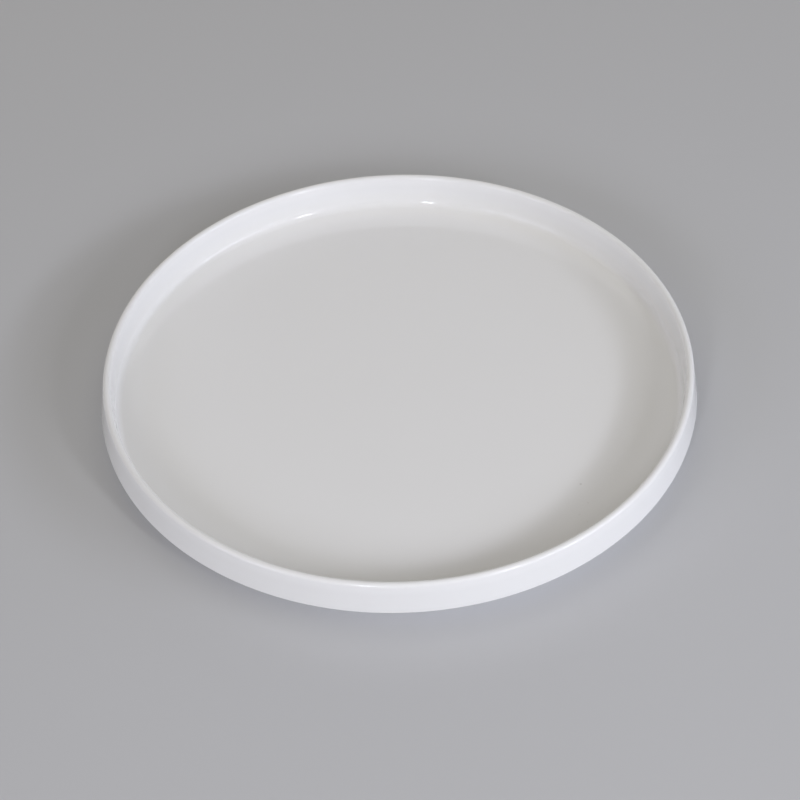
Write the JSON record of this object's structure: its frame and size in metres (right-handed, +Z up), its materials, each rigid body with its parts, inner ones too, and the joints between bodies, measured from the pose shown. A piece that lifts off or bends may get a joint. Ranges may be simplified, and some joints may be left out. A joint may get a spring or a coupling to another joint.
{
  "type": "evaporating dish",
  "caption": "Wide, flat-bottomed glazed porcelain dish with a low, straight wall, a rounded lip and a foot ring, for evaporating, drying or holding samples.",
  "frame": {"origin": "centre of the foot ring, on the plane that the dish stands on", "axes": "+Z up along the dish's axis, out of its open side; the dish is round, so X and Y are equal"},
  "size_m": [0.25, 0.25, 0.0234],
  "materials": {
    "biscuit": "bare fired porcelain, fine-grained and matt, ground flat where the dish stands",
    "glaze": "smooth, glossy feldspathic glaze, white with a faint cool cast"
  },
  "bodies": {
    "root": {"porcelain_body": "biscuit", "glaze_coat": "glaze", "foot_well_glaze": "glaze"}
  },
  "joints": []
}
